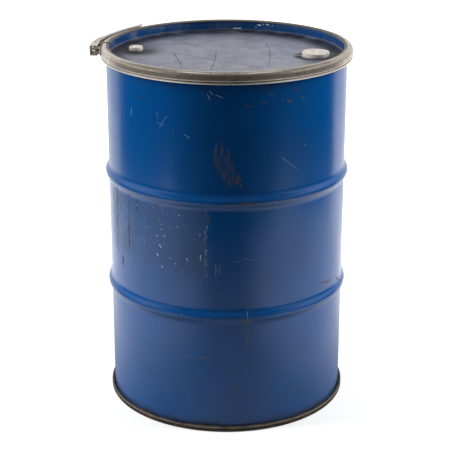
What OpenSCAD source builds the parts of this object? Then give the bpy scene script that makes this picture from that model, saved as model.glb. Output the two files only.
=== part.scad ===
// Open-head steel drum, 200 litres: a rolled body with two rolling hoops and a seamed-on bottom,
// a dished lid with two plugged bungs, and a lever-lock closing ring that clamps the lid down.
// Millimetres, +Z up. The origin is on the drum's axis, on the plane that the bottom chime stands on.

/* [Drum] */
// Overall height, from the foot of the chime to the top of the closing ring
drum_h = 880; // [700:5:1060]
// Inside diameter of the body
body_id = 571.5; // [460:0.5:690]
// Thickness of the body, bottom and lid sheets
sheet_t = 1.2; // [0.8:0.1:1.6]

/* [Rolling hoops] */
// Height of the lower hoop's crest above the floor
hoop_low_z = 295; // [200:1:320]
// Distance between the two hoops' crests
hoop_pitch = 282; // [200:1:320]
// How far a hoop stands out of the body
hoop_rise = 8.5; // [4:0.5:12]
// Half of the height that a hoop takes up on the body
hoop_half_w = 22; // [16:1:30]
// Bend radius where a hoop leaves the wall
hoop_fillet = 20; // [12:1:22]

/* [Bottom seam] */
// Height of the folded seam
seam_h = 15; // [13:0.5:20]
// How far the seam stands out of the body
seam_out = 7.7; // [7:0.1:10]
// Height of the bottom panel above the floor
bottom_rise = 20; // [14:1:40]
// Bend radius of the seam's outer folds, at the middle of the sheet
seam_bend = 2.4; // [1.8:0.1:2.6]
// Gap between sheets folded together
fold_gap = 0.15; // [0.1:0.05:0.3]
// Thickness of the sealing compound in the seam
compound_t = 0.9; // [0.5:0.1:1.2]

/* [Lid] */
// Depth of the lid's panel below the top of the closing ring
lid_depth = 27; // [18:1:60]
// Bend radius of the lid's lower corner, at the middle of the sheet
lid_corner = 8; // [4:1:14]
// Radial gap between the lid's wall and the inside of the body
lid_gap = 1.75; // [1:0.25:2.5]
// Radius of the lid's arched rim, at the middle of the sheet
arch_r = 6.5; // [5:0.25:8]
// Radius of the body's top curl, at the middle of the sheet
curl_r = 4.9; // [3.5:0.1:6]
// Gap between the gasket and what it seals against
gasket_gap = 0.3; // [0.1:0.1:0.5]

/* [Closing ring] */
// Height of the closing ring
ring_h = 28; // [26:0.5:34]
// Thickness of the ring's sheet
ring_t = 1.5; // [1:0.1:2]
// Gap between the ring and the rims that it clamps
ring_gap = 0.3; // [0.2:0.1:1]
// Radial gap between the ring's flat wall and the lid's rim
rim_gap = 1.5; // [1:0.1:4]
// Depth of the ring's groove
groove_in = 1.35; // [0.8:0.05:2]
// Radial gap between the ring's groove and the body's curl
groove_gap = 0.4; // [0.3:0.1:1]
// Distance between the ring's two ends
ring_split = 12; // [6:1:30]
// Direction of the split, counted from +X towards +Y
latch_angle = 178; // [0:1:359]

/* [Lever lock] */
// Length of the lever, along its curve, beyond its pivot pin
lever_l = 220; // [180:5:300]
// Radius of the lever's curve, at the open edge of its channel
lever_bow = 440; // [340:10:600]
// Depth of the lever's channel
lever_depth = 10; // [9:0.5:16]
// Length of the lever's head, which is a deeper channel
head_l = 58; // [45:1:80]
// How much deeper the lever's head is
head_rise = 5; // [3:0.5:8]
// Thickness of the lever's sheet
lever_t = 1.8; // [1.2:0.1:2.5]
// Distance from the ring's split to the pivot pin
pivot_back = 18; // [14:1:26]
// Height of the pivot pin's middle over the ring's wall
pivot_out = 15; // [13:0.5:18]
// Distance from the pivot pin to the link pin
toggle_l = 31; // [24:1:36]
// How far the link pin lies nearer the drum than the pivot pin
toggle_drop = 6; // [4:0.5:9]
// Distance from the ring's split to the fork that the link hooks into
fork_front = 30; // [26:1:40]
// Diameter of the pivot pin
pivot_d = 6; // [4:0.5:8]
// Diameter of the link pin and of the link's crossbar
link_d = 5; // [3.5:0.5:6]
// Radial clearance of the pins in their holes
pin_gap = 0.08; // [0.03:0.01:0.1]
// Clearance of the link's crossbar in the fork
fork_gap = 1.4; // [1.2:0.1:2.5]
// Thickness of the brackets' ears and plates
ear_t = 2; // [1.5:0.1:3]
// Distance between a bracket's two ears
ear_gap = 10; // [7:0.5:11]
// Side clearance between ears, lever and link
side_gap = 0.4; // [0.2:0.1:0.6]
// Length of the link's hood, which covers the fork
hood_l = 42; // [36:1:50]
// How far the hood stands out from the middle of the link
hood_out = 14; // [12:0.5:16]
// Diameter of the rivets' shanks
rivet_d = 4; // [3:0.5:5]

/* [Bungs] */
// Thread diameter of the large bung
large_thread_d = 57; // [40:1:60]
// Distance of the large bung's middle from the body's inside wall
large_bung_in = 73.75; // [60:0.25:120]
// Thread diameter of the small bung
small_thread_d = 25; // [18:1:30]
// Distance of the small bung's middle from the body's inside wall
small_bung_in = 61.75; // [50:0.25:120]
// Direction of the large bung, counted from +X towards +Y
large_bung_angle = -5; // [-180:1:180]
// Direction of the small bung, counted from +X towards +Y
small_bung_angle = 168; // [-180:1:180]
// Wall of a bung's neck outside its thread
neck_t = 2.2; // [1.6:0.2:5]
// Height of the large bung's neck over the lid's panel
large_neck_h = 7; // [5:0.5:10]
// Height of the small bung's neck over the lid's panel
small_neck_h = 5.5; // [4:0.5:8]
// Depth of the flanges below the lid's panel
flange_drop = 12; // [8:1:18]
// Thickness of the bungs' gaskets
bung_gasket_t = 1.4; // [1:0.1:2]
// Thickness of a plug's walls and head
plug_t = 2.6; // [2:0.1:3.5]
// Thickness of the crimped cap seals
cap_t = 0.5; // [0.3:0.1:0.8]
// Length of the tear tab on the large cap seal
tab_l = 12; // [6:1:20]

/* [Hidden] */
$fn = 96;
fine_fn = 360;

// Sheet lines: every r below is at the middle of the sheet unless its name says otherwise
body_in_r = body_id / 2;
body_out_r = body_in_r + sheet_t;
wall_r = body_in_r + sheet_t / 2;

// Bottom seam: head wall, body wall, head hook, body hook and head outer wall, from inside out
head_wall_r = body_in_r - fold_gap - sheet_t / 2;
seam_outer_r = body_out_r + seam_out - sheet_t / 2;
body_hook_r = seam_outer_r - sheet_t - compound_t - 2 * fold_gap;
body_bend = (body_hook_r - wall_r) / 2;
head_hook_r = wall_r + body_bend;
body_bend_z = sheet_t + fold_gap + sheet_t / 2 + body_bend;
seam_top_z = seam_h - sheet_t / 2;
body_hook_top = seam_h - 3 * sheet_t;
head_hook_end = body_bend_z + fold_gap;
hook_bend = (seam_outer_r - seam_bend - head_hook_r) / 2;
bottom_corner = 9;

// Closing ring: a flange over the lid's rim, a round crown, a flat wall, a groove, a bead and a turned-in lip
lid_wall_r = body_in_r - lid_gap - sheet_t / 2;
lid_rim_r = lid_wall_r + 2 * arch_r + sheet_t / 2;
curl_out_r = wall_r + 2 * curl_r + sheet_t / 2;
ring_out_r = max(lid_rim_r + rim_gap, curl_out_r + groove_gap + groove_in) + ring_t;
ring_wall_r = ring_out_r - ring_t / 2;
ring_foot_z = drum_h - ring_h;
lip_z = ring_foot_z + ring_t / 2;
lip_end_r = body_out_r + 2.6;
crown_mid_r = lid_wall_r + arch_r;
crown_r = ring_wall_r - crown_mid_r;
crown_mid = [crown_mid_r, drum_h - ring_t / 2 - crown_r];
ring_flange_r = 24;
ring_flange_a = 24;
ring_flange_mid = [crown_mid_r, drum_h - ring_t / 2 - ring_flange_r];
groove_z = ring_foot_z + 6.2;
bead_r = 2.6;
wall_foot_z = groove_z + 2.8;

// Rims: the body's curl stands on the ring's lip, and the lid's arch hangs under the ring's crown
curl_mid = [wall_r + curl_r, ring_foot_z + ring_t + ring_gap + sheet_t / 2 + curl_r];
curl_top_z = curl_mid[1] + curl_r + sheet_t / 2;
arch_mid = [lid_wall_r + arch_r, drum_h - ring_t - ring_gap - sheet_t / 2 - arch_r];
skirt_end_z = max(curl_top_z + 1.2, arch_mid[1] - 5);
panel_top_z = drum_h - lid_depth;
panel_z = panel_top_z - sheet_t / 2;
panel_under_z = panel_top_z - sheet_t;
gasket_r = arch_r - sheet_t / 2 - fold_gap;
gasket_foot_z = curl_top_z + gasket_gap;

// Bungs: [distance from the axis, direction, thread radius, neck height over the panel]
LARGE = [body_in_r - large_bung_in, large_bung_angle, large_thread_d / 2, large_neck_h];
SMALL = [body_in_r - small_bung_in, small_bung_angle, small_thread_d / 2, small_neck_h];
thread_gap = 0.15;
seat_gap = 0.2;
collar_h = 4.8;
flange_brim = 5;
flange_foot_t = 4;

// Lever lock, worked out as if the split were at +X: x is outwards, y along the ring, z up
latch_z = wall_foot_z + 6.7;
ear_half = ear_gap / 2;
cheek_half = ear_half + ear_t + side_gap;
arm_half = cheek_half + lever_t + side_gap;
arm_t = 2.2;
arm_w = link_d + 1;
plate_half_h = ear_half + ear_t + 0.6;
plate_end_gap = 2;
plate_in_r = ring_out_r + 0.1;
ear_foot_r = plate_in_r + ear_t / 2;
bracket_out_r = plate_in_r + ear_t;
split_half_a = asin(ring_split / 2 / ring_out_r);
pivot = [ring_out_r + pivot_out - pivot_back * pivot_back / (2 * ring_out_r), -pivot_back];
link_pin_y = -pivot_back - sqrt(toggle_l * toggle_l - toggle_drop * toggle_drop);
link_eye = [pivot[0] - toggle_drop, link_pin_y];
fork_seat = [link_eye[0] + 1.2, fork_front];

// The lever's curve: its channel is centred on the pivot, and it comes nearest the ring at lever_near_a
lever_near_a = -20;
near_dir = [cos(lever_near_a), sin(lever_near_a)];
pivot_along = pivot * near_dir;
channel_mid_r = lever_bow + lever_depth / 2;
lever_mid_back = sqrt(pivot_along * pivot_along - pivot * pivot + channel_mid_r * channel_mid_r) - pivot_along;
lever_mid = -lever_mid_back * near_dir;
pivot_a = atan2(pivot[1] - lever_mid[1], pivot[0] - lever_mid[0]);
lever_web_r = lever_bow + lever_depth;
degrees_per_mm = 180 / (PI * lever_bow);
lever_tip_a = pivot_a - lever_l * degrees_per_mm;
head_r = (lever_depth + head_rise) / 2;
head_ramp = 12;
web_thinning = 0.2;
tip_curl_r = 40;
tip_curl_a = 34;
tip_curl_mid = lever_mid + (lever_web_r + tip_curl_r) * [cos(lever_tip_a), sin(lever_tip_a)];
pin_head_t = 0.4;
rivet_head_t = 1.4;

// Plain geometry

// Points after a path's first one, where the path before it already ends there
function rest_of(p) = [for (i = [1:len(p) - 1]) p[i]];

// Points of an arc round c, from angle a0 to a1
function arc(c, r, a0, a1, n) =
    [for (i = [0:n]) let (a = a0 + (a1 - a0) * i / n) c + r * [cos(a), sin(a)]];

function unit(v) = v / norm(v);

// Left-hand normal of the path's step after point i
function step_normal(p, i) = let (d = unit(p[i + 1] - p[i])) [-d[1], d[0]];

// Mitred normal at point i, long enough to keep the sheet's thickness round the bend
function mitre(p, i) =
    i == 0 ? step_normal(p, 0)
    : i == len(p) - 1 ? step_normal(p, i - 1)
    : let (a = step_normal(p, i - 1), m = unit(a + step_normal(p, i))) m / (m * a);

// Outline of a sheet of thickness t whose middle follows path p
function sheet(p, t) = concat(
    [for (i = [0:len(p) - 1]) p[i] + t / 2 * mitre(p, i)],
    [for (i = [len(p) - 1:-1:0]) p[i] - t / 2 * mitre(p, i)]
);

// A sheet-metal ring: path p of [radius, height] turned round the drum's axis
module spun(p, t) {
    rotate_extrude() polygon(sheet(p, t));
}

// A plain tube between two heights
module tube(out_r, in_r, z0, z1) {
    translate([0, 0, z0]) difference() {
        cylinder(r = out_r, h = z1 - z0);
        translate([0, 0, -1]) cylinder(r = in_r, h = z1 - z0 + 2);
    }
}

// Drum body

// One rolling hoop's outline, from its lower fillet over the crest to its upper fillet
function hoop(z) =
    let (
        lean = 2 * atan(hoop_rise / hoop_half_w),
        crest_r = hoop_half_w / sin(lean) - hoop_fillet
    ) concat(
        arc([wall_r + hoop_fillet, z - hoop_half_w], hoop_fillet, 180, 180 - lean, 5),
        arc([wall_r + hoop_rise - crest_r, z], crest_r, -lean * 0.75, lean * 0.75, 6),
        arc([wall_r + hoop_fillet, z + hoop_half_w], hoop_fillet, 180 + lean, 180, 5)
    );

body_path = concat(
    [[body_hook_r, body_hook_top]],
    arc([head_hook_r, body_bend_z], body_bend, 0, -180, 8),
    hoop(hoop_low_z),
    hoop(hoop_low_z + hoop_pitch),
    arc(curl_mid, curl_r, 180, -120, 20)
);

module body_shell() {
    color([0.02, 0.15, 0.32]) spun(body_path, sheet_t);
}

head_path = concat(
    [[head_hook_r, head_hook_end]],
    arc([head_hook_r + hook_bend, seam_top_z - hook_bend], hook_bend, 180, 90, 4),
    arc([seam_outer_r - seam_bend, seam_top_z - seam_bend], seam_bend, 90, 0, 4),
    arc([seam_outer_r - seam_bend, seam_bend + sheet_t / 2], seam_bend, 0, -90, 4),
    arc([head_wall_r + seam_bend, seam_bend + sheet_t / 2], seam_bend, -90, -180, 4),
    arc([head_wall_r - bottom_corner, bottom_rise + sheet_t / 2 - bottom_corner], bottom_corner, 0, 90, 6)
);

// The bottom is a dished disc whose edge is folded round the body's flange
module bottom_head() {
    color([0.05, 0.16, 0.30]) {
        spun(head_path, sheet_t);
        translate([0, 0, bottom_rise]) cylinder(r = head_wall_r - bottom_corner, h = sheet_t);
    }
}

module seam_compound() {
    foot = sheet_t + seam_bend;
    color([0.55, 0.50, 0.42])
        tube(seam_outer_r - sheet_t / 2 - fold_gap, body_hook_r + sheet_t / 2 + fold_gap,
             foot, body_hook_top);
}

// Lid

lid_path = concat(
    arc([lid_wall_r - lid_corner, panel_z + lid_corner], lid_corner, -90, 0, 6),
    arc(arch_mid, arch_r, 180, 0, 12),
    [[arch_mid[0] + arch_r, skirt_end_z]]
);

// Places its children at a bung, with z = 0 on top of the lid's panel
module at_bung(b) {
    rotate([0, 0, b[1]]) translate([b[0], 0, panel_top_z]) children();
}

function neck_r(b) = b[2] + neck_t;
function collar_r(b) = neck_r(b) + seat_gap;

module lid() {
    color([0.03, 0.20, 0.40]) difference() {
        union() {
            spun(lid_path, sheet_t);
            translate([0, 0, panel_under_z]) cylinder(r = lid_wall_r - lid_corner, h = sheet_t);
            for (b = [LARGE, SMALL])
                at_bung(b) translate([0, 0, -sheet_t])
                    cylinder(r = collar_r(b) + sheet_t, h = collar_h + sheet_t);
        }
        for (b = [LARGE, SMALL])
            at_bung(b) translate([0, 0, -2 * sheet_t]) cylinder(r = collar_r(b), h = collar_h + 4 * sheet_t);
    }
}

// The gasket fills the lid's arch and meets the body's curl
module lid_gasket() {
    color([0.08, 0.08, 0.08]) rotate_extrude() polygon(concat(
        arc(arch_mid, gasket_r, 0, 180, 12),
        [[arch_mid[0] - gasket_r, gasket_foot_z], [arch_mid[0] + gasket_r, gasket_foot_z]]
    ));
}

// Bungs

// Threaded neck with a brim that pulls up against the panel
module flange(b) {
    brim_z = -sheet_t - bung_gasket_t;
    at_bung(b) difference() {
        union() {
            translate([0, 0, -flange_drop]) cylinder(r = neck_r(b), h = flange_drop + b[3]);
            translate([0, 0, brim_z - flange_foot_t])
                cylinder(r = neck_r(b) + flange_brim, h = flange_foot_t);
        }
        translate([0, 0, -flange_drop - 1]) cylinder(r = b[2] + thread_gap, h = flange_drop + b[3] + 2);
    }
}

module flange_gasket(b) {
    at_bung(b) tube(neck_r(b) + flange_brim, neck_r(b) + seat_gap, -sheet_t - bung_gasket_t, -sheet_t);
}

// Cup-shaped plug with a head that closes on the neck and a bar across it for the wrench
module plug(b) {
    head_z = b[3] + bung_gasket_t;
    plug_foot = -flange_drop + 2;
    at_bung(b) {
        difference() {
            union() {
                translate([0, 0, plug_foot]) cylinder(r = b[2], h = head_z - plug_foot + 1);
                translate([0, 0, head_z]) cylinder(r = neck_r(b) - 0.5, h = plug_t);
            }
            translate([0, 0, plug_foot + plug_t]) cylinder(r = b[2] - plug_t, h = head_z - plug_foot + plug_t);
        }
        intersection() {
            translate([-b[2], -plug_t, plug_foot + plug_t]) cube([2 * b[2], 2 * plug_t, b[3] - plug_foot]);
            translate([0, 0, plug_foot]) cylinder(r = b[2] - plug_t / 2, h = 4 * flange_drop);
        }
    }
}

module plug_gasket(b) {
    at_bung(b) tube(neck_r(b) - 0.3, b[2] + seat_gap, b[3], b[3] + bung_gasket_t);
}

// Thin metal cap crimped over a plugged bung
module cap_seal(b) {
    in_r = collar_r(b) + sheet_t + seat_gap;
    top = b[3] + bung_gasket_t + plug_t + seat_gap;
    at_bung(b) rotate_extrude() polygon(concat(
        [[0, top], [in_r - 1.5, top], [in_r, top - 1.5], [in_r, 0.3], [in_r + cap_t + 0.4, 0.3],
         [in_r + cap_t + 0.4, 1.5], [in_r + cap_t, 2]],
        arc([in_r + cap_t - 2, top + cap_t - 2], 2, 0, 90, 4),
        [[in_r - 6, top + cap_t], [in_r - 6.6, top + cap_t - 0.25], [0, top + cap_t - 0.25]]
    ));
}

module large_flange() {
    color([0.35, 0.34, 0.32]) flange(LARGE);
}

module large_flange_gasket() {
    color([0.10, 0.10, 0.10]) flange_gasket(LARGE);
}

module large_plug() {
    color([0.45, 0.44, 0.42]) plug(LARGE);
}

module large_plug_gasket() {
    color([0.10, 0.10, 0.10]) plug_gasket(LARGE);
}

// The large seal has a tear tab at its foot, on the side of the drum's axis
module large_cap_seal() {
    foot_r = collar_r(LARGE) + sheet_t + seat_gap;
    color([0.84, 0.80, 0.76]) {
        cap_seal(LARGE);
        at_bung(LARGE) translate([-foot_r - cap_t - tab_l, -4, 0.6]) cube([tab_l + cap_t / 2, 8, cap_t]);
    }
}

module small_flange() {
    color([0.35, 0.34, 0.32]) flange(SMALL);
}

module small_flange_gasket() {
    color([0.10, 0.10, 0.10]) flange_gasket(SMALL);
}

module small_plug() {
    color([0.45, 0.44, 0.42]) plug(SMALL);
}

module small_plug_gasket() {
    color([0.10, 0.10, 0.10]) plug_gasket(SMALL);
}

module small_cap_seal() {
    color([0.84, 0.80, 0.76]) cap_seal(SMALL);
}

// Closing ring and lever lock

ring_path = concat(
    arc(ring_flange_mid, ring_flange_r, 90 + ring_flange_a, 90, 4),
    rest_of(arc(crown_mid, crown_r, 90, 0, 10)),
    [[ring_wall_r, wall_foot_z], [ring_wall_r - groove_in, groove_z], [ring_wall_r - 0.3, groove_z - 2.4]],
    arc([ring_wall_r - 0.2 - bead_r, lip_z + bead_r], bead_r, 0, -90, 5),
    [[lip_end_r, lip_z]]
);

// Turns its children from the +X side to the ring's split, at the lock's mid height
module at_latch() {
    rotate([0, 0, latch_angle]) translate([0, 0, latch_z]) children();
}

// Radial holes for the rivets, at distances along the ring on each side of the split
rivet_places = [
    -pivot_back - 34, -pivot_back - 18, fork_front - 16, fork_front + 14
];

// Direction, seen from the axis, of a point at distance y along the ring's wall
function along(y) = asin(y / ring_out_r);

module at_rivets() {
    for (y = rivet_places) rotate([0, 0, along(y)]) rotate([0, 90, 0]) children();
}

module rivet_holes() {
    at_rivets() translate([0, 0, ring_out_r - 4]) cylinder(d = rivet_d + 2 * pin_gap, h = 10);
}

module closing_ring() {
    color([0.48, 0.45, 0.40]) difference() {
        rotate([0, 0, latch_angle + split_half_a])
            rotate_extrude(angle = 360 - 2 * split_half_a, $fn = fine_fn) polygon(sheet(ring_path, ring_t));
        at_latch() rivet_holes();
    }
}

// A curved plate on the ring's wall, from y0 to y1 along the ring
module bracket_plate(y0, y1) {
    rotate([0, 0, along(y0)]) translate([0, 0, -plate_half_h])
        rotate_extrude(angle = along(y1) - along(y0), $fn = fine_fn)
            translate([plate_in_r, 0]) square([ear_t, 2 * plate_half_h]);
}

// Both ears of a bracket, from one flat outline
module ears(outline) {
    for (z = [-ear_half - ear_t, ear_half]) translate([0, 0, z]) linear_extrude(ear_t) polygon(outline);
}

// The ears' root, inside the plate's thickness
function ear_foot(y0, y1) = arc([0, 0], ear_foot_r, along(y0), along(y1), 4);

// Ears for the lever's pivot, on the side of the lever
module lever_bracket() {
    ear_r = pivot_d / 2 + 3;
    color([0.50, 0.48, 0.44]) at_latch() difference() {
        union() {
            bracket_plate(-pivot_back - 41, -ring_split / 2 - plate_end_gap);
            ears(concat(ear_foot(pivot[1] - ear_r, pivot[1] + ear_r), arc(pivot, ear_r, 90, -90, 12)));
        }
        translate([pivot[0], pivot[1], -20]) cylinder(d = pivot_d + 2 * pin_gap, h = 40);
        rivet_holes();
    }
}

// Forked ears that the link's crossbar drops into from outside
module fork_bracket() {
    slot_r = link_d / 2 + fork_gap;
    half = slot_r + 3.5;
    tip = fork_seat[0] + slot_r + 2;
    outline = concat(
        ear_foot(fork_front - half, fork_front + half),
        [[tip - 1, fork_front + half], [tip, fork_front + half - 1], [tip, fork_front + slot_r]],
        arc(fork_seat, slot_r, 90, 270, 12),
        [[tip, fork_front - slot_r], [tip, fork_front - half + 1], [tip - 1, fork_front - half]]
    );
    color([0.50, 0.48, 0.44]) at_latch() difference() {
        union() {
            bracket_plate(ring_split / 2 + plate_end_gap, fork_front + 21);
            ears(outline);
        }
        rivet_holes();
    }
}

module bracket_rivets() {
    color([0.60, 0.58, 0.54]) at_latch() at_rivets() {
        translate([0, 0, bracket_out_r + 0.1]) cylinder(d1 = rivet_d * 1.9, d2 = rivet_d * 1.2, h = rivet_head_t);
        translate([0, 0, ring_out_r - ring_t - 0.1]) cylinder(d = rivet_d, h = ring_t + ear_t + 0.4);
        translate([0, 0, ring_out_r - ring_t - 0.9]) cylinder(d = rivet_d * 1.5, h = 0.8);
    }
}

module pivot_pin() {
    color([0.60, 0.58, 0.54]) at_latch() translate([pivot[0], pivot[1], -cheek_half - lever_t])
        cylinder(d = pivot_d, h = 2 * (cheek_half + lever_t));
}

// Angle at which the lever's curve is at distance d from the pivot
function lever_a(d) = pivot_a - d * degrees_per_mm;

// A cheek of the lever: along the channel, out along the curled tip, back over the head and round its nose
cheek_outline = concat(
    arc(lever_mid, lever_bow, pivot_a, lever_tip_a, 24),
    arc(tip_curl_mid, tip_curl_r + lever_t, lever_tip_a + 180, lever_tip_a + 180 + tip_curl_a, 8),
    arc(tip_curl_mid, tip_curl_r, lever_tip_a + 180 + tip_curl_a, lever_tip_a + 180, 8),
    rest_of(arc(lever_mid, lever_web_r, lever_tip_a, lever_a(head_l + head_ramp), 18)),
    arc(lever_mid, lever_web_r + head_rise, lever_a(head_l), pivot_a, 8),
    [for (a = [15:15:165])
        pivot + head_rise / 2 * [cos(pivot_a), sin(pivot_a)] + head_r * [cos(pivot_a + a), sin(pivot_a + a)]]
);

// The web outside the cheeks, which stops short of the bracket's ears so that the lever can turn
web_path = concat(
    arc(lever_mid, lever_web_r + head_rise - lever_t / 2, lever_a(head_r), lever_a(head_l), 8),
    arc(lever_mid, lever_web_r - lever_t / 2, lever_a(head_l + head_ramp), lever_tip_a, 18),
    rest_of(arc(tip_curl_mid, tip_curl_r + lever_t / 2, lever_tip_a + 180, lever_tip_a + 179 + tip_curl_a, 8))
);

// A bent channel: two cheeks that straddle the ears, joined by the web
module lever() {
    web_half = cheek_half + lever_t / 2;
    color([0.58, 0.56, 0.52]) at_latch() difference() {
        union() {
            for (z = [-cheek_half - lever_t, cheek_half])
                translate([0, 0, z]) linear_extrude(lever_t) polygon(cheek_outline);
            translate([0, 0, -web_half]) linear_extrude(2 * web_half)
                polygon(sheet(web_path, lever_t - web_thinning));
        }
        translate([pivot[0], pivot[1], -20]) cylinder(d = pivot_d + 2 * pin_gap, h = 40);
        translate([link_eye[0], link_eye[1], -20]) cylinder(d = link_d + 2 * pin_gap, h = 40);
    }
}

module link_pin() {
    reach = arm_half + arm_t;
    color([0.60, 0.58, 0.54]) at_latch() translate([link_eye[0], link_eye[1], -reach]) {
        cylinder(d = link_d, h = 2 * reach);
        for (z = [-pin_head_t, 2 * reach]) translate([0, 0, z]) cylinder(d = link_d + 2, h = pin_head_t);
    }
}

// A stamped link: an arm on each side of the lever, a hood over the fork, and the crossbar that sits in it
module link_bail() {
    span = fork_seat - link_eye;
    link_l = norm(span);
    foot_l = link_l + arm_w / 2 + 1 - hood_l;
    arm_outline = concat(
        arc([0, 0], arm_w / 2 + 1, 250, 90, 10),
        arc([link_l, 0], arm_w / 2 + 1, 90, 0, 6),
        [[link_l + arm_w / 2 + 1, -hood_out + 2], [link_l + arm_w / 2 - 1, -hood_out], [foot_l + 2, -hood_out],
         [foot_l, -hood_out + 2], [foot_l, -arm_w / 2 - 1]]
    );
    color([0.52, 0.50, 0.46]) at_latch() translate([link_eye[0], link_eye[1], 0])
        rotate([0, 0, atan2(span[1], span[0])]) {
            difference() {
                for (z = [-arm_half - arm_t, arm_half])
                    translate([0, 0, z]) linear_extrude(arm_t) polygon(arm_outline);
                translate([0, 0, -20]) cylinder(d = link_d + 2 * pin_gap, h = 40);
            }
            translate([link_l, 0, -arm_half - arm_t / 2]) cylinder(d = link_d, h = 2 * arm_half + arm_t);
            translate([foot_l + 3, -hood_out + 0.1, -arm_half - arm_t / 2])
                cube([hood_l - 6, lever_t, 2 * arm_half + arm_t]);
        }
}

body_shell();
bottom_head();
seam_compound();
lid();
lid_gasket();
large_flange();
large_flange_gasket();
large_plug();
large_plug_gasket();
large_cap_seal();
small_flange();
small_flange_gasket();
small_plug();
small_plug_gasket();
small_cap_seal();
closing_ring();
lever_bracket();
fork_bracket();
bracket_rivets();
pivot_pin();
lever();
link_pin();
link_bail();
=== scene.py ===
import math

import bpy
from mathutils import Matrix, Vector


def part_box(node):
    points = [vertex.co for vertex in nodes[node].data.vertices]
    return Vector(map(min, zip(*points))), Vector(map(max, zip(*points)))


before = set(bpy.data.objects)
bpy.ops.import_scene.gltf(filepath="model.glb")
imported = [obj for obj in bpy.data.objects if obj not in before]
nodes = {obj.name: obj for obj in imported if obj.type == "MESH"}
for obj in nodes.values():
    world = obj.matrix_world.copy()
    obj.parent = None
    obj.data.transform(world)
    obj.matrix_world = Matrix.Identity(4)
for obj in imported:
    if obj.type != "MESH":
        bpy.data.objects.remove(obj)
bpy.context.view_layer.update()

# Camera: on the -Y side, looking down on the drum. It is fitted to the photo without a shifted lens

PITCH = math.radians(19.81)
CAMERA_AT = Vector((-0.004, -3.200, 1.574))
FOCAL_PX = 1365
PICTURE_PX = 450

cam_data = bpy.data.cameras.new("camera")
cam_data.lens = cam_data.sensor_width * FOCAL_PX / PICTURE_PX
cam_data.clip_end = 50
camera = bpy.data.objects.new("camera", cam_data)
camera.location = CAMERA_AT
camera.rotation_euler = (math.pi / 2 - PITCH, 0, 0)
bpy.context.scene.collection.objects.link(camera)
bpy.context.scene.camera = camera
bpy.context.scene.view_settings.view_transform = "Standard"

# Heights and radii of the drum, in metres: sizes of the part's source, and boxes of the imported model

BODY_R = 0.287
HOOPS = (0.295, 0.577)
LID_DEPTH = 0.027
RING_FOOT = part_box("closing_ring")[0].z
RING_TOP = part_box("closing_ring")[1].z
SEAM_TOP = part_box("bottom_head")[1].z
PANEL = RING_TOP - LID_DEPTH


def above(node):
    """The middle of a node's box, seen from above."""
    low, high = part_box(node)
    return Vector(((low.x + high.x) / 2, (low.y + high.y) / 2, 0.0))


SMALL_BUNG = above("small_cap_seal")
LARGE_BUNG = above("large_cap_seal")


def srgb(r, g, b):
    """A colour given as 0-255 sRGB, as the linear RGBA that a socket takes."""
    def lin(c):
        c = c / 255
        return c / 12.92 if c <= 0.04045 else ((c + 0.055) / 1.055) ** 2.4
    return (lin(r), lin(g), lin(b), 1.0)


# Shorthand for shader nodes: a value is a number, a colour or another node's socket

class Graph:
    def __init__(self, tree):
        self.tree = tree

    def node(self, kind, *values, out=0, **settings):
        n = self.tree.nodes.new("ShaderNode" + kind)
        for key, value in settings.items():
            setattr(n, key, value)
        for i, value in enumerate(values):
            if value is not None:
                self.set(n.inputs[i], value)
        return n.outputs[out]

    def set(self, socket, value):
        if isinstance(value, bpy.types.NodeSocket):
            self.tree.links.new(value, socket)
        else:
            socket.default_value = value

    def math(self, op, *values):
        return self.node("Math", *values, operation=op)

    def add(self, a, b):
        return self.math("ADD", a, b)

    def mul(self, a, b):
        return self.math("MULTIPLY", a, b)

    def most(self, *values):
        total = values[0]
        for v in values[1:]:
            total = self.math("MAXIMUM", total, v)
        return total

    def smooth(self, x, lo, hi, a=0.0, b=1.0):
        """Goes smoothly from a to b as x goes from lo to hi; lo may be the larger."""
        if lo > hi:
            lo, hi, a, b = hi, lo, b, a
        return self.node("MapRange", x, lo, hi, a, b, interpolation_type="SMOOTHSTEP")

    def band(self, x, lo, hi, soft):
        return self.mul(self.smooth(x, lo - soft, lo + soft), self.smooth(x, hi + soft, hi - soft))

    def mix(self, factor, a, b):
        n = self.tree.nodes.new("ShaderNodeMix")
        n.data_type = "RGBA"
        self.set(n.inputs[0], factor)
        self.set(n.inputs[6], a)
        self.set(n.inputs[7], b)
        return n.outputs[2]

    def vector(self, op, a, b):
        return self.node("VectorMath", a, b, operation=op)

    def xyz(self, x, y, z):
        return self.node("CombineXYZ", x, y, z)

    def noise(self, place, scale, detail=3.0, rough=0.55, warp=0.0):
        return self.node("TexNoise", place, None, scale, detail, rough, None, None, None, warp,
                         noise_dimensions="3D")

    def cells(self, place, scale, out=0):
        return self.node("TexVoronoi", place, None, scale, out=out)

    def bump(self, height, distance, normal=None):
        n = self.tree.nodes.new("ShaderNodeBump")
        n.inputs["Distance"].default_value = distance
        self.set(n.inputs["Height"], height)
        if normal is not None:
            self.set(n.inputs["Normal"], normal)
        return n.outputs[0]


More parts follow.
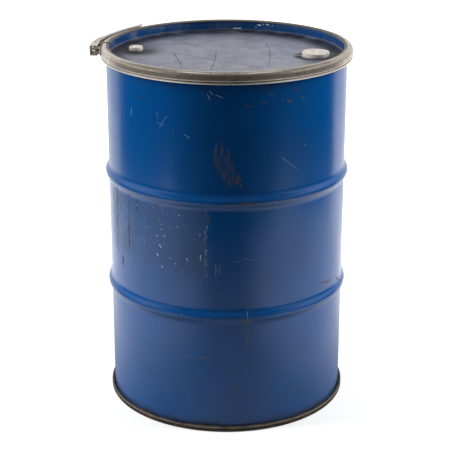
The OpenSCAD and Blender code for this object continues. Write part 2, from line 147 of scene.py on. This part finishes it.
class Finish(Graph):
    """One material: its coordinates and its Principled shader."""

    def __init__(self, name):
        self.material = bpy.data.materials.new(name)
        self.material.use_nodes = True
        super().__init__(self.material.node_tree)
        self.shift = None
        self.shader = self.tree.nodes["Principled BSDF"]
        self.shader.inputs["IOR"].default_value = 1.5
        coordinates = self.tree.nodes.new("ShaderNodeTexCoord")
        self.place = coordinates.outputs["Object"]
        self.facing = coordinates.outputs["Normal"]
        parts = self.tree.nodes.new("ShaderNodeSeparateXYZ")
        self.set(parts.inputs[0], self.place)
        self.x, self.y, self.z = parts.outputs
        self.turn = self.math("ARCTAN2", self.x, self.mul(self.y, -1.0))
        # Laid flat: metres round the drum from its front, and height
        self.wall = self.xyz(self.mul(self.turn, BODY_R), self.z, 0.0)
        self.flat = self.xyz(self.x, self.y, 0.0)

    def radius(self):
        return self.node("VectorMath", self.flat, operation="LENGTH", out=1)

    def put(self, **values):
        names = {"color": "Base Color", "rough": "Roughness", "normal": "Normal", "metal": "Metallic"}
        for key, value in values.items():
            self.set(self.shader.inputs[names[key]], value)

    def stretched(self, across, up):
        """The surface's place, squeezed so that a pattern comes out longer in one direction."""
        return self.vector("MULTIPLY", self.place, (across, across, up))

    def wander(self):
        """A small random shift that makes drawn lines ragged; made once for each material."""
        if self.shift is None:
            n = self.tree.nodes.new("ShaderNodeTexNoise")
            self.set(n.inputs["Vector"], self.place)
            n.inputs["Scale"].default_value = 90.0
            n.inputs["Detail"].default_value = 3.0
            self.shift = self.vector("SUBTRACT", n.outputs["Color"], (0.5, 0.5, 0.5))
        return self.shift

    def strokes(self, place, lines, ragged=0.0):
        """Where the surface lies on a line. Each line is a list of points and a half width, in metres."""
        if ragged:
            place = self.vector("ADD", place, self.vector("MULTIPLY", self.wander(), (ragged, ragged, 0.0)))
        nearest = None
        for points, half in lines:
            for a, b in zip(points, points[1:] or points):
                a, b = Vector((*a, 0.0)), Vector((*b, 0.0))
                offset = self.vector("SUBTRACT", place, a)
                if (b - a).length > 0:
                    along = (b - a) / (b - a).length_squared
                    t = self.node("VectorMath", offset, tuple(along), operation="DOT_PRODUCT", out=1)
                    t = self.math("MAXIMUM", self.math("MINIMUM", t, 1.0), 0.0)
                    step = self.node("VectorMath", tuple(b - a), operation="SCALE")
                    self.set(step.node.inputs["Scale"], t)
                    offset = self.vector("SUBTRACT", offset, step)
                d = self.node("VectorMath", offset, operation="LENGTH", out=1)
                d = self.math("DIVIDE", d, half)
                nearest = d if nearest is None else self.math("MINIMUM", nearest, d)
        return self.smooth(nearest, 1.25, 0.55)


def on_wall(*lines):
    """Strokes on the body, given as azimuth in degrees from the front and height in millimetres."""
    return [([(math.radians(a) * BODY_R, h / 1000) for a, h in points], half / 1000)
            for half, *points in lines]


def on_panel(*lines):
    """Strokes on the lid, given as X and Y in millimetres."""
    return [([(x / 1000, y / 1000) for x, y in points], half / 1000) for half, *points in lines]


# Marks on the body: half width in mm, then points

WHITE_SCRATCHES = on_wall(
    (0.7, (-7.6, 836), (-6.2, 828)), (0.6, (-8.6, 828), (-7.8, 822), (-7.4, 816)),
    (0.5, (-5.2, 828), (-1.6, 821)),
    (0.25, (-31.9, 741), (-30.2, 755), (-27.8, 770)), (0.25, (-33.1, 778), (-32.6, 762)),
    (0.2, (-33, 752), (-29, 748)),
    (0.6, (-49, 773), (-49.4, 756)), (0.5, (-19.4, 733), (-17, 726)),
    (0.25, (25.3, 677), (30, 658), (34, 642)), (0.3, (9.4, 314), (9.5, 294)),
    (0.25, (-2, 725), (-2.6, 684)), (0.25, (-4.7, 715), (-5.1, 690)), (0.2, (0.9, 702), (0.7, 668)),
    (0.3, (-5.1, 429), (-5, 398)), (0.3, (-3.2, 425), (-3.3, 402)), (0.18, (3, 433), (9, 441), (15, 434)),
    (0.9, (38, 696),), (0.8, (3, 221),),
    (0.9, (-19.5, 192),), (0.9, (-17, 192),), (0.9, (-32, 729),), (0.8, (-25, 734),), (0.9, (-21, 299),),
)
LABEL_SPECKS = on_wall(
    (1.7, (-57.6, 525),), (1.6, (-47, 541),), (1.7, (-30, 484),), (1.6, (-22.4, 540),), (1.6, (-31.6, 497),),
    (1.7, (-34, 481),), (1.4, (-32.8, 460), (-32, 454)), (1.5, (-23.5, 511),), (1.5, (-12.3, 500),),
    (1.5, (-10.2, 487),), (1.4, (-34.5, 436), (-33.9, 432)), (1.3, (-27.2, 432),),
    (1.5, (-31.9, 408), (-31.4, 405)),
    (1.2, (-18.7, 437), (-18.4, 433)), (1.4, (-24.5, 420),), (1.4, (-21, 402),), (1.5, (-51.7, 434),),
    (1.2, (-12, 448), (-12.3, 436)), (1.3, (-10, 425),), (1.3, (-36.5, 547),), (1.3, (-40.7, 495),),
)
DARK_STREAKS = on_wall(
    (2.8, (-64.8, 572), (-66, 396)), (2.6, (-53, 560), (-53.6, 420)), (2.0, (-46.7, 556), (-46.2, 520)),
    (4.0, (-60, 390), (-60, 372)), (1.8, (31.4, 587),), (1.5, (49.8, 547),), (0.9, (22, 444), (25.6, 453)),
    (2.2, (-36, 65),), (1.1, (-26, 335),), (1.1, (-39, 327),),
    (2.2, (-44, 802), (-42, 798)), (2.0, (31.8, 828), (34, 826)), (2.0, (42.7, 820),),
)
RUST = on_wall(
    (1.6, (2.6, 640), (3.6, 632), (6.7, 614)),
    (3.4, (36.9, 807),), (2.6, (53, 336), (60, 330)), (3.0, (69, 322), (74, 305)),
)
BROWN_PATCH = on_wall((20, (-2.6, 696), (-1, 664), (2.4, 634)))
OLIVE = on_wall(
    (2.2, (-8.3, 547), (-8.3, 528)), (3.2, (7, 577), (11, 576)), (2.2, (-1, 573), (6, 575)),
    (1.3, (18.9, 828), (21.9, 819)), (2.6, (-12.7, 192), (-9, 191)), (2.4, (9.8, 262), (9.6, 222)),
    (3.8, (7.4, 288), (10.4, 285)), (3.0, (9.2, 279),), (1.4, (9.6, 222), (9.3, 205)),
    (1.8, (4, 124), (5.2, 112)),
    (2.4, (25.4, 808),), (3.0, (28.6, 806), (30, 805)), (2.2, (8.4, 802), (10.6, 801)),
    (1.6, (15, 808), (17.8, 806)),
)
SCUFFS = on_wall(
    (0.9, (29.7, 55), (31, 80), (34.6, 106)), (0.8, (36, 62), (37, 92), (39.4, 62)),
    (0.8, (40, 92), (43.8, 56)),
    (0.7, (41, 98), (45.6, 103), (48, 94)), (0.8, (47, 74), (53, 96), (58, 106)), (0.7, (36, 84), (46, 70)),
)

# Painted sheet

BLUE = srgb(0, 80, 150)
BLUE_WORN = srgb(3, 74, 136)
PRIMER = srgb(214, 220, 228)
DIRT = srgb(46, 44, 42)
DUST = srgb(120, 122, 134)
RUST_DARK = srgb(64, 46, 30)
RUST_LIGHT = srgb(142, 98, 40)
LABEL_STAIN = srgb(58, 76, 90)
OLIVE_STAIN = srgb(96, 88, 46)
BROWN_STAIN = srgb(84, 72, 44)
RUN_STAIN = srgb(66, 60, 54)
SOIL = srgb(58, 54, 52)
WELD = srgb(40, 44, 52)
BARE_LIGHT = srgb(128, 118, 104)
BARE_DARK = srgb(96, 84, 70)

# The ghost of a lost label: metres round the body from its front, and the heights that its edges fade over

LABEL_ACROSS = (-0.36, -0.0445)
LABEL_FOOT = (0.385, 0.425)
LABEL_HEAD = (0.562, 0.550)
TORN_ACROSS = (-0.051, -0.0435)
TORN_UP = (0.39, 0.55)


def rust_color(g, place):
    return g.mix(g.smooth(g.noise(place, 160, 4), 0.4, 0.62), RUST_DARK, RUST_LIGHT)


def paint_layers(g):
    """The colour and roughness of blue enamel: faint clouding, a film of dust, fine vertical scratches."""
    clouds = g.noise(g.place, 5, 4)
    color = g.mix(g.smooth(clouds, 0.35, 0.7), BLUE, BLUE_WORN)
    film = g.mul(g.smooth(g.noise(g.stretched(4, 2), 3, 5), 0.45, 0.8),
                 g.smooth(g.z, 0.62, 0.54, 0.004, 0.03))
    film = g.add(film, g.smooth(g.z, 0.20, 0.0, 0.0, 0.07))
    color = g.mix(film, color, DUST)
    fine = g.smooth(g.noise(g.stretched(420, 20), 1, 2), 0.70, 0.80)
    fine = g.mul(fine, g.smooth(g.noise(g.place, 9, 2), 0.52, 0.70))
    color = g.mix(g.mul(fine, 0.16), color, PRIMER)
    rough = g.add(g.smooth(clouds, 0.3, 0.7, 0.20, 0.27), g.mul(film, 1.2))
    return color, rough


def sheet_waves(g):
    """The skin of the paint, and the slow waves of a rolled sheet."""
    skin = g.bump(g.noise(g.place, 420, 2), 0.00006)
    return g.bump(g.noise(g.stretched(1, 0.6), 7, 1), 0.0016, skin)


def body_paint():
    g = Finish("body_paint")
    color, rough = paint_layers(g)
    normal = sheet_waves(g)
    # The ghost of a lost label, left of the front
    s, z = g.node("SeparateXYZ", g.wall), g.z
    edge = g.add(s, g.mul(g.add(g.noise(g.place, 60, 3), -0.5), 0.006))
    label = g.mul(g.band(edge, *LABEL_ACROSS, 0.0012),
                  g.mul(g.smooth(z, *LABEL_FOOT), g.smooth(z, *LABEL_HEAD)))
    patchy = g.smooth(g.noise(g.stretched(9, 4), 4, 5), 0.3, 0.75, 0.35, 1.0)
    stain = g.mul(label, patchy)
    color = g.mix(g.mul(stain, 0.56), color, LABEL_STAIN)
    rough = g.add(rough, g.mul(stain, 0.16))
    flecks = g.smooth(g.cells(g.place, 170), 0.20, 0.10)
    flecks = g.mul(flecks, g.mul(label, g.smooth(g.noise(g.place, 24, 2), 0.43, 0.54)))
    torn = g.mul(g.band(edge, *TORN_ACROSS, 0.0012), g.band(z, *TORN_UP, 0.01))
    torn = g.mul(torn, g.smooth(g.noise(g.stretched(300, 90), 1, 3), 0.55, 0.65))
    # Scratches, chips, runs of dirt and rust
    white = g.most(g.strokes(g.wall, WHITE_SCRATCHES, 0.0015), g.strokes(g.wall, LABEL_SPECKS, 0.003))
    broken = g.smooth(g.noise(g.place, 500, 2), 0.36, 0.56, 0.15, 1.0)
    white = g.mul(g.most(white, g.mul(flecks, 0.7), g.mul(torn, 0.7)), broken)
    color = g.mix(g.mul(white, 0.9), color, PRIMER)
    dark = g.strokes(g.wall, DARK_STREAKS, 0.006)
    dark = g.mul(dark, g.smooth(g.noise(g.place, 90, 3), 0.32, 0.58, 0.35, 1.0))
    color = g.mix(g.mul(dark, 0.9), color, DIRT)
    olive = g.mul(g.strokes(g.wall, OLIVE, 0.008), broken)
    color = g.mix(g.mul(olive, 0.9), color, OLIVE_STAIN)
    patch = g.mul(g.strokes(g.wall, BROWN_PATCH, 0.01),
                  g.smooth(g.noise(g.stretched(230, 26), 1, 4, 0.7), 0.44, 0.62))
    color = g.mix(g.mul(patch, 0.75), color, BROWN_STAIN)
    rust = g.strokes(g.wall, RUST, 0.008)
    rust = g.mul(rust, g.smooth(g.noise(g.place, 240, 4), 0.36, 0.54))
    color = g.mix(rust, color, rust_color(g, g.place))
    scuffs = g.strokes(g.wall, SCUFFS, 0.003)
    color = g.mix(g.mul(scuffs, 0.6), color, DIRT)
    # The back and sides are worn in the same way: chips that rust, and runs of dirt
    rest = g.smooth(g.y, -0.12, 0.02)
    worn = g.smooth(g.noise(g.place, 3.5, 2), 0.45, 0.62)
    chips = g.mul(g.smooth(g.cells(g.place, 26), 0.19, 0.10), g.mul(worn, rest))
    chips = g.mul(chips, g.smooth(g.noise(g.place, 240, 3), 0.34, 0.5))
    color = g.mix(g.mul(chips, 0.9), color, rust_color(g, g.place))
    runs = g.mul(g.smooth(g.noise(g.stretched(38, 2.2), 1, 4, 0.6), 0.52, 0.72), g.mul(rest, 0.55))
    color = g.mix(runs, color, RUN_STAIN)
    # Grime along the hoops' crests, over the bottom seam and under the ring
    grime = g.most(*[g.band(z, crest - 0.003, crest + 0.001, 0.002) for crest in HOOPS])
    grime = g.mul(grime, g.smooth(g.noise(g.stretched(22, 90), 1, 4), 0.44, 0.62))
    color = g.mix(g.mul(grime, 0.55), color, DIRT)
    foot = g.mul(g.smooth(z, SEAM_TOP + 0.012, SEAM_TOP - 0.002),
                 g.smooth(g.noise(g.stretched(30, 60), 1, 4), 0.35, 0.6))
    neck = g.mul(g.smooth(z, RING_FOOT - 0.03, RING_FOOT - 0.002),
                 g.smooth(g.noise(g.stretched(18, 30), 1, 4), 0.4, 0.65))
    soil = g.most(foot, g.mul(neck, 0.6))
    color = g.mix(g.mul(soil, 0.6), color, SOIL)
    # The inside is bare steel under clear lacquer
    inside = g.node("VectorMath", g.facing, g.flat, operation="DOT_PRODUCT", out=1)
    inside = g.mul(g.smooth(inside, 0.0, -0.05), g.smooth(g.radius(), BODY_R + 0.001, BODY_R))
    bare = g.mix(g.smooth(g.noise(g.stretched(8, 2), 3, 5), 0.35, 0.7), BARE_LIGHT, BARE_DARK)
    color = g.mix(inside, color, bare)
    dull = g.most(rust, patch, chips, dark, runs, g.mul(soil, 0.7), g.mul(inside, 0.5))
    rough = g.most(rough, g.mul(dull, 0.8))
    # The weld seam runs down the back
    seam = g.smooth(g.math("ABSOLUTE", g.x), 0.0035, 0.0015)
    seam = g.mul(seam, g.smooth(g.y, 0.0, 0.1))
    color = g.mix(g.mul(seam, 0.3), color, WELD)
    g.put(color=color, rough=rough, normal=g.bump(g.mul(seam, 0.8), 0.0006, normal))
    return g.material


LID_PAINTED_SHADE = srgb(10, 32, 60)
LID_DUST = srgb(120, 128, 144)
LID_DUST_AND_REFLECTION = srgb(126, 124, 136)
LID_DUST_AND_REFLECTION_DARK = srgb(92, 94, 108)
LID_SCRATCH = srgb(56, 32, 22)
LID_DIRT_AND_SHADE = srgb(26, 30, 38)

# Marks on the lid: half width in mm, then points

LID_SCRATCHES = on_panel(
    (1.2, (-128, 22), (-60, -36), (20, -90), (88, -137)), (1.2, (-127, 17), (-101, -128)),
    (1.3, (-25, 28), (-27, -40), (-30, -100), (-36, -158)),
    (1.2, (96, 128), (104, 60), (103, -30), (94, -138)),
    (1.1, (-12, -116), (14, -119)), (1.5, (-178, -66),),
)
# On the upright wall of the lid's recess, at the back
RECESS_CHIPS = on_wall(
    (1.5, (163.5, 870), (162, 869)), (1.6, (160.5, 872),), (1.2, (159, 873), (157.5, 871)),
    (1.3, (164.6, 864),),
    (1.2, (176.5, 859), (172.5, 859)), (1.1, (155.6, 870),),
)


def lid_paint():
    """Blue, with a pale film of dust and painted reflection, painted shade on the recess wall, brown
    scratches, and dark dirt with painted shadow and reflection along the wall and round the bungs.
    """
    g = Finish("lid_paint")
    color, rough = paint_layers(g)
    panel = g.mul(g.smooth(g.z, PANEL + 0.006, PANEL + 0.001),
                  g.smooth(g.z, PANEL - 0.0011, PANEL - 0.0006))
    recess = g.mul(g.smooth(g.z, PANEL + 0.001, PANEL + 0.005), g.smooth(g.radius(), 0.2845, 0.2825))
    # Painted shade: the upright wall of the recess is darkened
    color = g.mix(g.mul(recess, 0.5), color, LID_PAINTED_SHADE)
    cloudy = g.mul(g.smooth(g.noise(g.place, 26, 5, 0.6), 0.42, 0.7), g.smooth(g.x, 0.05, -0.2, 0.15, 0.5))
    color = g.mix(g.mul(recess, cloudy), color, LID_DUST)
    # A pale film over the panel: partly dust, partly a painted reflection of the white backdrop
    film = g.smooth(g.noise(g.place, 11, 5, 0.6), 0.3, 0.75, 0.8, 1.0)
    film = g.mul(film, panel)
    dust_and_reflection = g.mix(g.smooth(g.noise(g.place, 30, 5, 0.65), 0.36, 0.66), LID_DUST_AND_REFLECTION, LID_DUST_AND_REFLECTION_DARK)
    color = g.mix(film, color, dust_and_reflection)
    scratches = g.mul(g.strokes(g.flat, LID_SCRATCHES, 0.004), panel)
    scratches = g.mul(scratches, g.smooth(g.noise(g.place, 120, 3), 0.32, 0.52))
    color = g.mix(g.mul(scratches, 0.85), color, LID_SCRATCH)
    # Dark soil, partly painted: dirt round the small bung, a painted shadow round the foot of the large cap,
    # and along the recess wall, heavier at the back, dirt with a painted dark reflection of the wall
    bung_dirt_and_shadow = [g.node("VectorMath", g.flat, bung, operation="DISTANCE", out=1)
            for bung in (SMALL_BUNG, LARGE_BUNG)]
    bung_dirt_and_shadow = g.most(g.smooth(bung_dirt_and_shadow[0], 0.085, 0.022), g.smooth(bung_dirt_and_shadow[1], 0.052, 0.036))
    wall_dirt_and_reflection = g.mul(g.smooth(g.radius(), 0.215, 0.264), g.smooth(g.y, -0.12, 0.1, 0.45, 1.0))
    ragged = g.smooth(g.noise(g.place, 20, 5, 0.6), 0.3, 0.58, 0.5, 1.0)
    soil = g.mul(g.mul(g.most(wall_dirt_and_reflection, bung_dirt_and_shadow), ragged), panel)
    color = g.mix(g.mul(soil, 0.92), color, LID_DIRT_AND_SHADE)
    chips = g.mul(g.strokes(g.wall, RECESS_CHIPS, 0.002), recess)
    color = g.mix(g.mul(chips, 0.9), color, PRIMER)
    rough = g.add(g.add(rough, g.mul(film, 0.14)), g.mul(g.most(scratches, soil), 0.3))
    g.put(color=color, rough=rough, normal=sheet_waves(g))
    return g.material


def bottom_paint():
    """The bottom's panel is blue; its folded seam is rubbed and rusted brown, with a bright edge."""
    g = Finish("bottom_paint")
    color, rough = paint_layers(g)
    seam = g.smooth(g.radius(), BODY_R - 0.004, BODY_R - 0.001)
    worn = g.noise(g.stretched(30, 120), 1, 5, 0.6)
    brown = g.mix(g.smooth(worn, 0.35, 0.65), srgb(36, 33, 31), srgb(72, 62, 50))
    brown = g.mix(g.mul(g.smooth(g.noise(g.place, 90, 4), 0.56, 0.7), 0.35), brown, RUST_LIGHT)
    edge = g.mul(g.band(g.z, SEAM_TOP * 0.48, SEAM_TOP * 0.62, 0.0006), g.smooth(worn, 0.3, 0.5, 0.3, 1.0))
    brown = g.mix(g.mul(edge, 0.75), brown, srgb(160, 148, 132))
    under = g.mul(g.smooth(g.noise(g.place, 14, 5, 0.65), 0.5, 0.64), g.smooth(seam, 1.0, 0.0))
    color = g.mix(seam, color, brown)
    color = g.mix(g.mul(under, 0.8), color, rust_color(g, g.place))
    g.put(color=color, rough=g.add(g.mul(g.most(seam, under), 0.32), rough), normal=g.bump(worn, 0.0004))
    return g.material


# Metal

def galvanised():
    """Dull zinc with rolled lines round the hoop, painted highlights on its bends, and dirt and painted
    shade in its crease, along its inside edge and behind the lever.
    """
    g = Finish("galvanised")
    r = g.radius()
    lines = g.noise(g.xyz(g.mul(r, 700), g.mul(g.z, 700), g.mul(g.turn, 1.5)), 1, 3, 0.6)
    grain = g.noise(g.place, 60, 5, 0.62)
    color = g.mix(g.smooth(lines, 0.35, 0.65), srgb(172, 160, 146), srgb(206, 198, 188))
    color = g.mix(g.mul(g.smooth(grain, 0.48, 0.68), 0.4), color, srgb(132, 116, 98))
    # Painted highlights: bright lines on the bead below the crease and on the bend above it
    bend_highlight = g.most(g.band(g.z, RING_FOOT + 0.001, RING_FOOT + 0.0045, 0.001),
                    g.band(g.z, RING_FOOT + 0.0085, RING_FOOT + 0.0105, 0.001))
    color = g.mix(g.mul(bend_highlight, 0.7), color, srgb(240, 236, 226))
    # Painted shade with dirt in the crease under the crown
    crease_shade_and_dirt = g.band(g.z, RING_FOOT + 0.0052, RING_FOOT + 0.0074, 0.0007)
    # Dirt and painted shade along the ring's inside edge, reaching further up the crown at the back
    edge_dirt_and_shade = g.most(g.smooth(r, 0.2875, 0.2855), g.mul(g.smooth(r, 0.2935, 0.2905), g.smooth(g.y, 0.0, 0.18)))
    # Painted shadow on the ring's outer wall behind the lever
    behind = g.mul(g.band(g.turn, -2.75, -1.45, 0.06), g.smooth(r, 0.2930, 0.2965))
    spots = g.smooth(g.noise(g.place, 34, 5, 0.65), 0.54, 0.76)
    # This mask is dirt and painted shade together
    dirt = g.most(g.mul(crease_shade_and_dirt, 0.9), g.mul(edge_dirt_and_shade, 0.8), g.mul(behind, 0.85), g.mul(spots, 0.15))
    color = g.mix(dirt, color, srgb(58, 50, 38))
    metal = g.smooth(dirt, 0.2, 0.9, 0.7, 0.1)
    rough = g.add(g.smooth(grain, 0.3, 0.7, 0.26, 0.38), g.mul(dirt, 0.25))
    g.put(color=color, rough=rough, metal=metal, normal=g.bump(lines, 0.00004))
    return g.material


def worn_steel(name, light, dark, scale, metal):
    """Pressed or turned steel with patches of dirt and brushed patches."""
    g = Finish(name)
    grain = g.noise(g.place, scale, 5, 0.6)
    color = g.mix(g.smooth(grain, 0.32, 0.68), light, dark)
    dirt = g.smooth(g.noise(g.place, scale * 2.5, 4), 0.52, 0.68)
    color = g.mix(g.mul(dirt, 0.7), color, srgb(52, 44, 36))
    rough = g.smooth(grain, 0.3, 0.7, 0.26, 0.48)
    g.put(color=color, rough=rough, metal=g.smooth(dirt, 0.0, 1.0, metal, 0.1), normal=g.bump(grain, 0.0002))
    return g.material


def cap_paint():
    """Cream lacquer on thin metal, blotchy, with spots of dirt, and dirt and painted shade at its foot."""
    g = Finish("cap_paint")
    smear = g.noise(g.place, 60, 5, 0.6)
    color = g.mix(g.smooth(smear, 0.35, 0.7), srgb(234, 226, 218), srgb(206, 196, 186))
    # Darker at the foot: dirt and painted shade where the cap meets the lid
    foot = g.smooth(g.z, PANEL + 0.006, PANEL + 0.001)
    dirt = g.most(g.mul(foot, 0.7), g.mul(g.smooth(g.noise(g.place, 150, 4), 0.56, 0.68), 0.6))
    color = g.mix(dirt, color, srgb(96, 84, 72))
    g.put(color=color, rough=g.smooth(smear, 0.3, 0.7, 0.38, 0.6), normal=g.bump(smear, 0.0003))
    return g.material


def soft_part(name, light, dark, rough):
    """Rubber or compound that is out of sight."""
    g = Finish(name)
    grain = g.noise(g.place, 180, 4, 0.6)
    color = g.mix(g.smooth(grain, 0.35, 0.68), light, dark)
    g.put(color=color, rough=g.smooth(grain, 0.3, 0.7, rough - 0.1, rough + 0.1),
          normal=g.bump(grain, 0.0002))
    return g.material


zinc = worn_steel("zinc", srgb(206, 198, 188), srgb(166, 156, 144), 140, 0.7)
pressed = worn_steel("pressed", srgb(214, 206, 196), srgb(176, 166, 152), 110, 0.35)
rubber = soft_part("rubber", srgb(30, 30, 31), srgb(46, 45, 44), 0.7)
finishes = {
    "body_shell": body_paint(),
    "bottom_head": bottom_paint(),
    "lid": lid_paint(),
    "closing_ring": galvanised(),
    "seam_compound": soft_part("compound", srgb(134, 122, 102), srgb(104, 94, 78), 0.8),
    "large_cap_seal": cap_paint(),
    "fork_bracket": pressed, "lever_bracket": pressed, "link_bail": pressed,
}
finishes["small_cap_seal"] = finishes["large_cap_seal"]
for name, o in nodes.items():
    finish = finishes.get(name, rubber if "gasket" in name else zinc)
    for slot in o.material_slots:
        slot.material = finish

# Floor: white paper that shows the drum's shadow. To the camera all of it is white, and to other rays only
# the sheet that lies under and behind the drum

mesh = bpy.data.meshes.new("floor")
mesh.from_pydata([(-9, -9, 0), (9, -9, 0), (9, 9, 0), (-9, 9, 0)], [], [(0, 1, 2, 3)])
floor = bpy.data.objects.new("floor", mesh)
bpy.context.scene.collection.objects.link(floor)


def paper():
    g = Finish("paper")
    rays = g.tree.nodes.new("ShaderNodeLightPath").outputs
    side = g.math("ABSOLUTE", g.x)
    behind = g.smooth(g.math("SUBTRACT", g.y, g.mul(side, 0.55)), -0.05, 0.05)
    sheet = g.most(g.mul(g.smooth(side, 1.78, 1.68), g.smooth(g.y, -1.42, -1.24)), behind)
    camera_ray, glossy_ray = rays["Is Camera Ray"], rays["Is Glossy Ray"]
    seen = g.most(sheet, camera_ray)
    shade = g.mul(seen, g.smooth(camera_ray, 0.0, 1.0, 0.45, 0.8))
    g.put(color=g.node("CombineColor", shade, shade, shade), rough=1.0)
    g.shader.inputs["Specular IOR Level"].default_value = 0.0
    g.set(g.shader.inputs["Emission Color"], g.node("CombineColor", seen, seen, seen))
    far = g.smooth(g.radius(), 0.5, 1.5, 0.42, 1.0)
    back = g.smooth(g.y, 0.0, 0.8, 0.0, 1.0)
    lift = g.most(g.mul(camera_ray, far),
                  g.mul(glossy_ray, g.most(g.smooth(side, 0.2, 0.65, 0.0, 0.8), back)))
    g.set(g.shader.inputs["Emission Strength"], lift)
    return g.material


mesh.materials.append(paper())

# World: white to the camera; to the drum, a dim room with a white backdrop behind it. Only reflections
# also see a bright patch on each side overhead and one low on each side

world = bpy.data.worlds.new("world")
bpy.context.scene.world = world
world.use_nodes = True
w = Graph(world.node_tree)
rays = w.tree.nodes.new("ShaderNodeLightPath").outputs
toward = w.tree.nodes.new("ShaderNodeTexCoord").outputs["Generated"]
parts = w.tree.nodes.new("ShaderNodeSeparateXYZ")
w.set(parts.inputs[0], toward)
across, ahead, up = parts.outputs
backdrop = w.mul(w.smooth(ahead, 0.45, 0.7), w.smooth(up, 0.75, 0.5))
room = w.mul(w.smooth(up, -0.1, 0.15, 0.02, 0.18), w.smooth(rays["Is Glossy Ray"], 0.0, 1.0, 1.0, 0.3))
overhead = w.mul(w.smooth(up, 0.88, 0.94), w.smooth(w.math("ABSOLUTE", across), 0.12, 0.25, 0.0, 2.5))
beside = w.smooth(w.math("ABSOLUTE", across), 0.62, 0.8)
beside = w.mul(beside, w.mul(w.smooth(up, 0.06, 0.2, 0.0, 0.8), w.smooth(up, 0.75, 0.55)))
level = w.most(rays["Is Camera Ray"], backdrop, room, w.mul(w.most(overhead, beside), rays["Is Glossy Ray"]))
background = w.tree.nodes["Background"]
background.inputs["Color"].default_value = (1, 1, 1, 1)
w.set(background.inputs["Strength"], level)


# Lamps: two large soft boxes, left and right of the drum

def soft_box(name, at, aim, size, power):
    data = bpy.data.lights.new(name, "AREA")
    data.shape = "RECTANGLE"
    data.size, data.size_y = size
    data.energy = power
    lamp = bpy.data.objects.new(name, data)
    lamp.location = at
    lamp.rotation_euler = (Vector(aim) - Vector(at)).to_track_quat("-Z", "Y").to_euler()
    lamp.visible_camera = False
    lamp.visible_glossy = False
    bpy.context.scene.collection.objects.link(lamp)


soft_box("left_box", (-2.2, -0.15, 1.7), (0, 0, 0.5), (1.2, 1.4), 62)
soft_box("right_box", (2.2, 0.0, 1.7), (0, 0, 0.5), (1.2, 1.4), 56)
